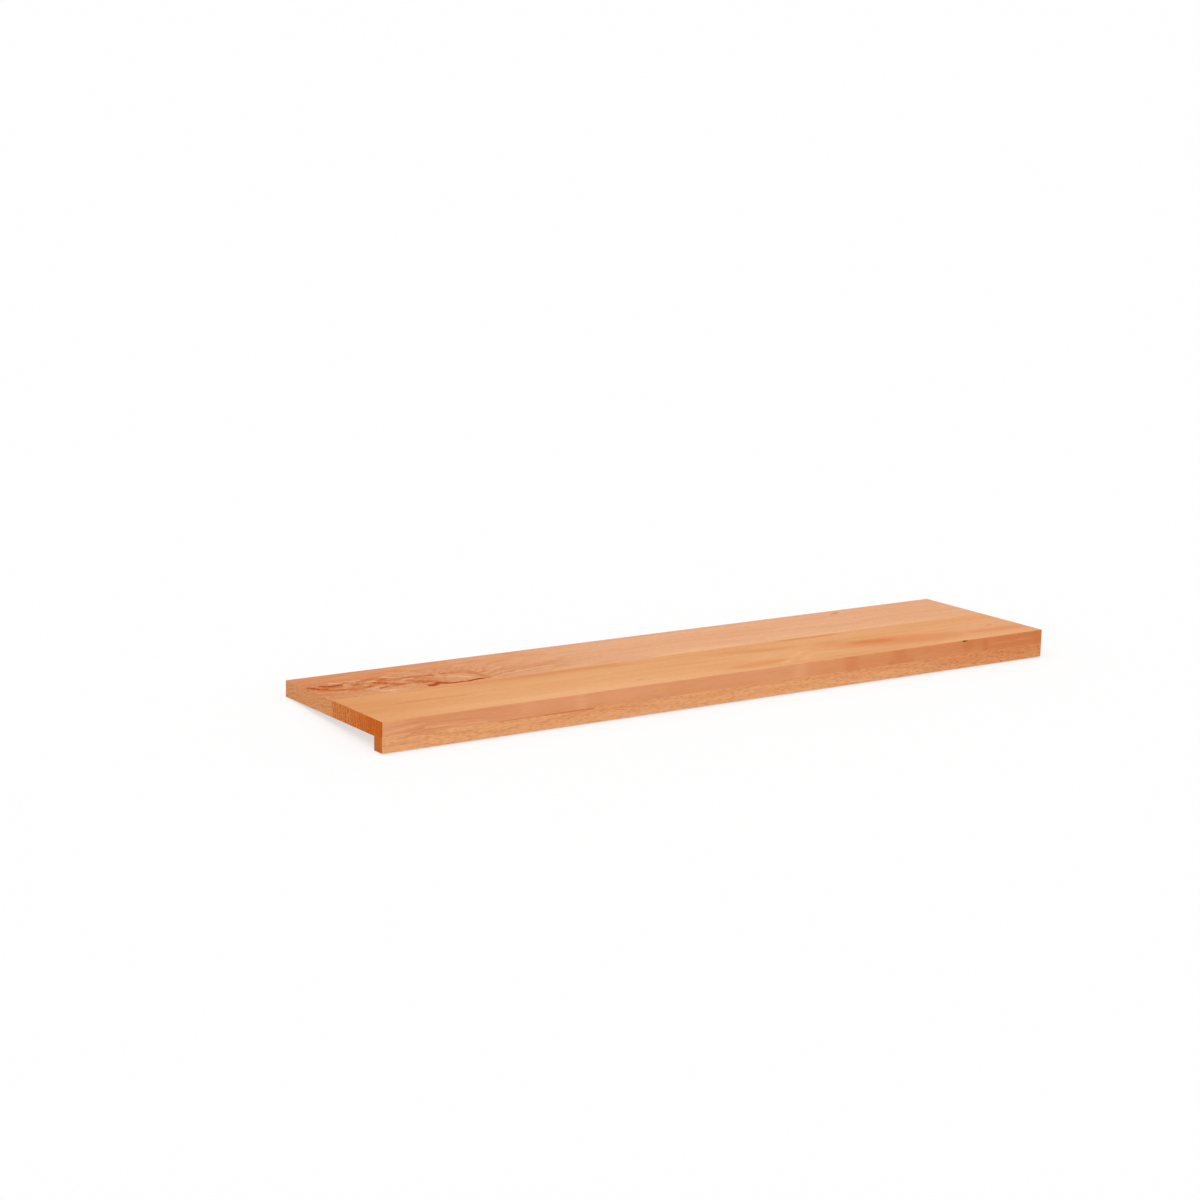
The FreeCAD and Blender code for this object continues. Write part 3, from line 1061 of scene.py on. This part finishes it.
def seenDirectly(tree):
    # 1 for what the camera sees, in a mirror or through glass too
    path = put(tree, "ShaderNodeLightPath").outputs
    mirrored = calc(tree, "MAXIMUM", path["Is Glossy Ray"], path["Is Transmission Ray"])
    return calc(tree, "MAXIMUM", path["Is Camera Ray"], mirrored)


def layFloor():
    slope = (rearLow[2] - stripLow[2]) / (rearHigh[1] - stripHigh[1])
    half = floorSetup["half"]
    rows = []
    for x, y in ((-half, -half), (half, -half), (half, half), (-half, half)):
        rows.append((x, y, stripLow[2] + slope * (y - stripHigh[1]) - floorSetup["drop"]))
    mesh = bpy.data.meshes.new("floor")
    mesh.from_pydata(rows, [], [(0, 1, 2, 3)])
    floor = bpy.data.objects.new("floor", mesh)
    bpy.context.scene.collection.objects.link(floor)
    material = bpy.data.materials.new("paleFloor")
    material.use_nodes = True
    tree = material.node_tree
    tree.nodes.clear()
    matt = put(tree, "ShaderNodeBsdfDiffuse")
    matt.inputs["Color"].default_value = floorSetup["tone"]
    glow = put(tree, "ShaderNodeEmission")
    glow.inputs["Strength"].default_value = 1.0
    lift = calc(tree, "MULTIPLY", seenDirectly(tree), floorSetup["lift"])
    mixed = put(tree, "ShaderNodeMixShader")
    wire(tree, mixed.inputs[0], lift)
    wire(tree, mixed.inputs[1], matt.outputs[0])
    wire(tree, mixed.inputs[2], glow.outputs[0])
    wire(tree, put(tree, "ShaderNodeOutputMaterial").inputs["Surface"], mixed.outputs[0])
    mesh.materials.append(material)
    print("floor laid")


layFloor()


# plain soft studio light: an even white surround, and two broad distant lamps with soft shadows

studio = {
    "worldLevel": 0.52,
    "lamps": [
        {"name": "overheadLamp", "from": (-0.25, -0.2, 1.0), "spread": 70.0, "strength": 1.3},
        {"name": "frontLamp", "from": (-0.45, -1.0, 0.55), "spread": 60.0, "strength": 0.5},
    ],
}


def lightStudio():
    world = bpy.data.worlds.new("whiteStudio")
    world.use_nodes = True
    tree = world.node_tree
    background = tree.nodes["Background"]
    background.inputs["Color"].default_value = white
    level = studio["worldLevel"]
    strength = calc(tree, "MULTIPLY_ADD", seenDirectly(tree), 1.0 - level, level)
    wire(tree, background.inputs["Strength"], strength)
    bpy.context.scene.world = world
    for lamp in studio["lamps"]:
        light = bpy.data.lights.new(lamp["name"], "SUN")
        light.energy = lamp["strength"]
        light.angle = math.radians(lamp["spread"])
        holder = bpy.data.objects.new(lamp["name"], light)
        holder.rotation_euler = Vector(lamp["from"]).to_track_quat("Z", "Y").to_euler()
        bpy.context.scene.collection.objects.link(holder)
    print("studio lit with", len(studio["lamps"]), "lamps")


lightStudio()


# camera where the photograph was taken from, with its turn in degrees and its lens and sensor in millimetres

cameraSetup = {
    "place": (-2.0785, -2.7781, 0.8287), "turn": (78.316, -1.345, -34.552),
    "lens": 77.786, "sensor": 36.0, "farEnd": 200.0,
}


def setCamera():
    camera = bpy.data.cameras.new("photoCamera")
    camera.lens = cameraSetup["lens"]
    camera.sensor_width = cameraSetup["sensor"]
    camera.sensor_fit = "HORIZONTAL"
    camera.clip_end = cameraSetup["farEnd"]
    holder = bpy.data.objects.new("photoCamera", camera)
    holder.location = cameraSetup["place"]
    holder.rotation_euler = [math.radians(angle) for angle in cameraSetup["turn"]]
    bpy.context.scene.collection.objects.link(holder)
    bpy.context.scene.camera = holder
    print("camera set")


setCamera()
bpy.context.scene.view_settings.view_transform = "Standard"

print("scene ready")
